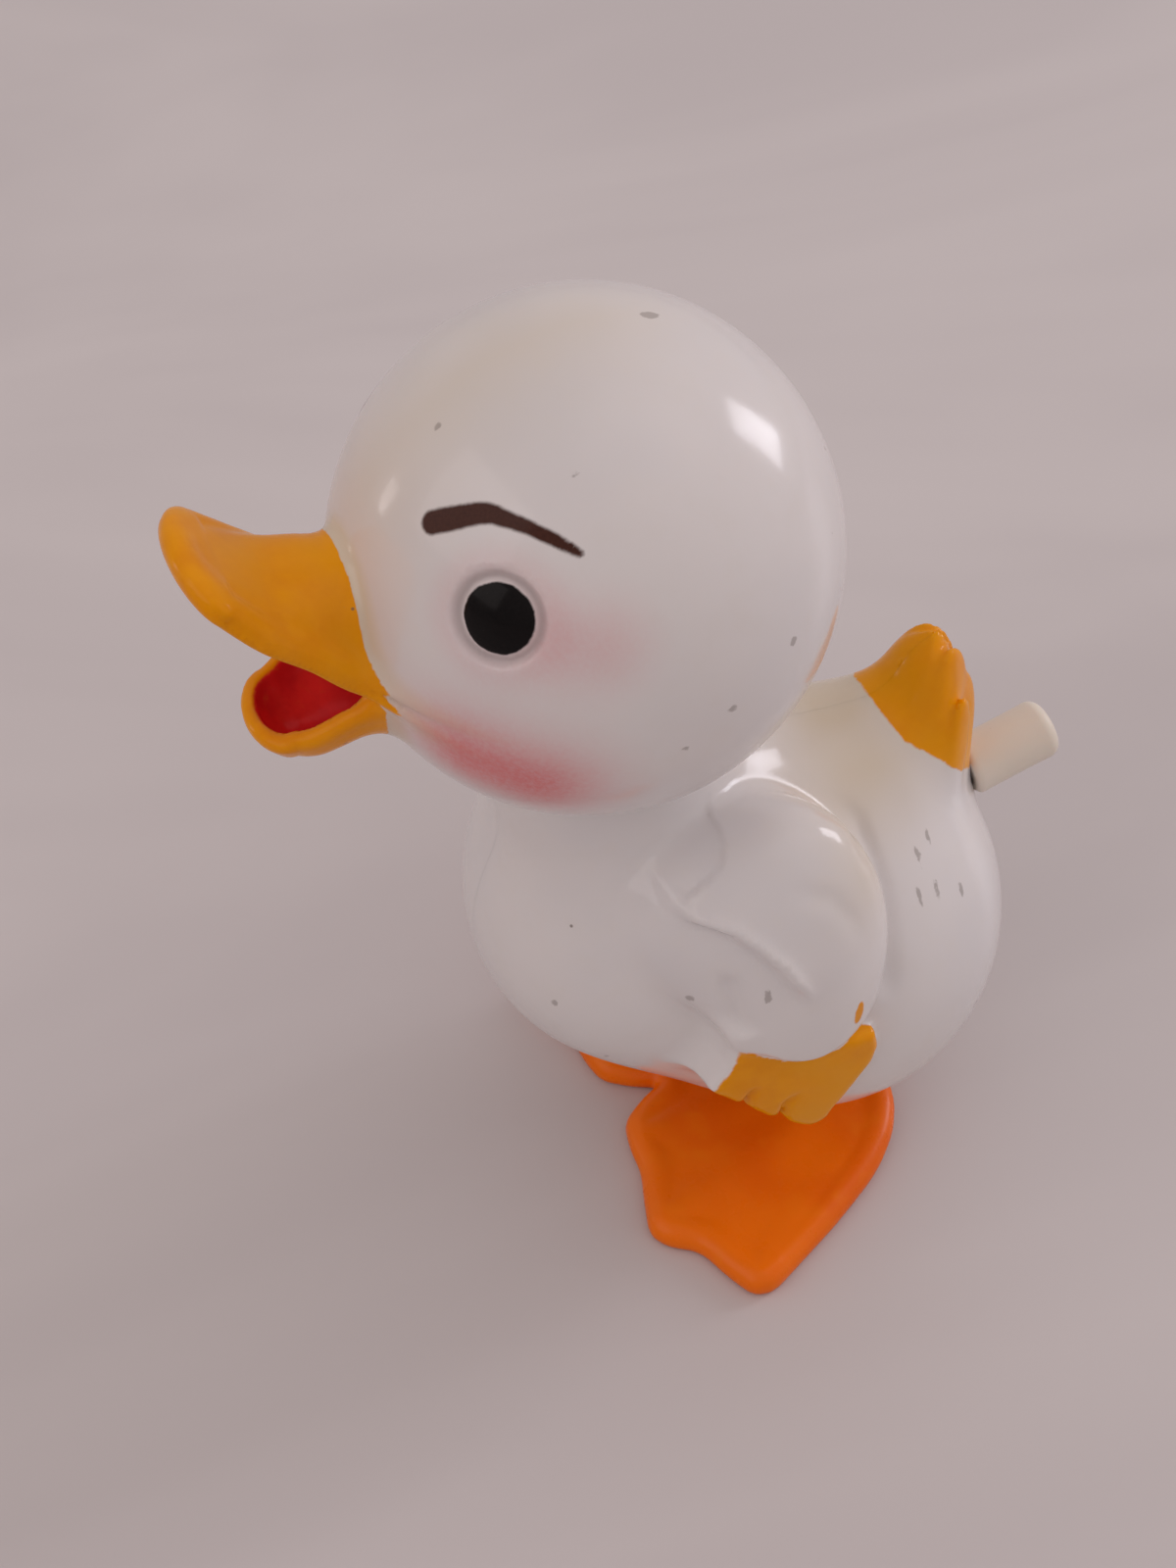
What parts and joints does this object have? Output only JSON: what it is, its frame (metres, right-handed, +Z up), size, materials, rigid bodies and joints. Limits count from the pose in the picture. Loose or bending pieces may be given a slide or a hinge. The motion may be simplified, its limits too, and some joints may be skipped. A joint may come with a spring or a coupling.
{
  "type": "wind-up hopping toy",
  "caption": "Wind-up hopping duckling: hollow white body, round head with an open bill, webbed feet hinged under the belly and a winding knob at the rear.",
  "frame": {"origin": "on the floor under the middle of the bounding box", "axes": "+Z up, the duckling faces -Y, its left side is +X"},
  "size_m": [0.0556, 0.0852, 0.0989],
  "materials": {
    "white_plastic": "glossy moulded plastic with sprayed yellow, red, pink and dark paint",
    "orange_plastic": "glossy moulded plastic",
    "knob_plastic": "satin moulded plastic",
    "steel": "stamped and turned, lightly oiled",
    "spring_steel": "blued strip",
    "brass": "stamped"
  },
  "bodies": {
    "feet": {"feet": "orange_plastic", "hop_lever": "steel", "lever_rivet": "steel"},
    "body": {"body_shell_left": "white_plastic", "body_shell_right": "white_plastic", "head_shell": "white_plastic", "pivot_pin": "steel", "motor_plate_front": "steel", "motor_plate_rear": "steel", "plate_pillar_1": "brass", "plate_pillar_2": "brass", "plate_pillar_3": "brass", "plate_pillar_4": "brass", "mainspring": "spring_steel", "return_spring": "spring_steel"},
    "winder": {"winding_arbor": "steel", "winding_knob": "knob_plastic", "ratchet_wheel": "steel"},
    "great": {"great_wheel": "brass", "click_stud": "steel", "click_spring": "spring_steel"},
    "pawl": {"click": "steel"},
    "second": {"second_arbor": "steel", "second_wheel": "brass"},
    "cam": {"cam_arbor": "steel", "hop_cam": "steel"}
  },
  "joints": [
    {"name": "body_hop", "type": "hinge", "parent": "feet", "child": "body", "pos_m": [0, 0.015, 0.014], "axis": [-1, 0, 0], "range_deg": [0, 6], "deforming": ["return_spring"]},
    {"name": "knob_turn", "type": "hinge", "parent": "body", "child": "winder", "pos_m": [0, 0.01, 0.0305], "axis": [0, 0.9588, 0.284], "continuous": true, "deforming": ["mainspring"]},
    {"name": "great_wheel_turn", "type": "hinge", "parent": "body", "child": "great", "pos_m": [0, 0.01, 0.0305], "axis": [0, 0.9588, 0.284], "continuous": true},
    {"name": "click_lift", "type": "hinge", "parent": "great", "child": "pawl", "pos_m": [0.0054, 0.01, 0.0305], "axis": [0, 0.9588, 0.284], "range_deg": [0, 10], "deforming": ["click_spring"]},
    {"name": "second_arbor_turn", "type": "hinge", "parent": "body", "child": "second", "pos_m": [-0.008, 0.01116, 0.02657], "axis": [0, 0.9588, 0.284], "continuous": true},
    {"name": "cam_turn", "type": "hinge", "parent": "body", "child": "cam", "pos_m": [-0.0033, 0.0124, 0.02241], "axis": [0, 0.9588, 0.284], "continuous": true}
  ],
  "couplings": [
    {"joint": "great_wheel_turn", "follows": "knob_turn", "ratio": 1},
    {"joint": "second_arbor_turn", "follows": "knob_turn", "ratio": -4},
    {"joint": "cam_turn", "follows": "knob_turn", "ratio": 12}
  ]
}
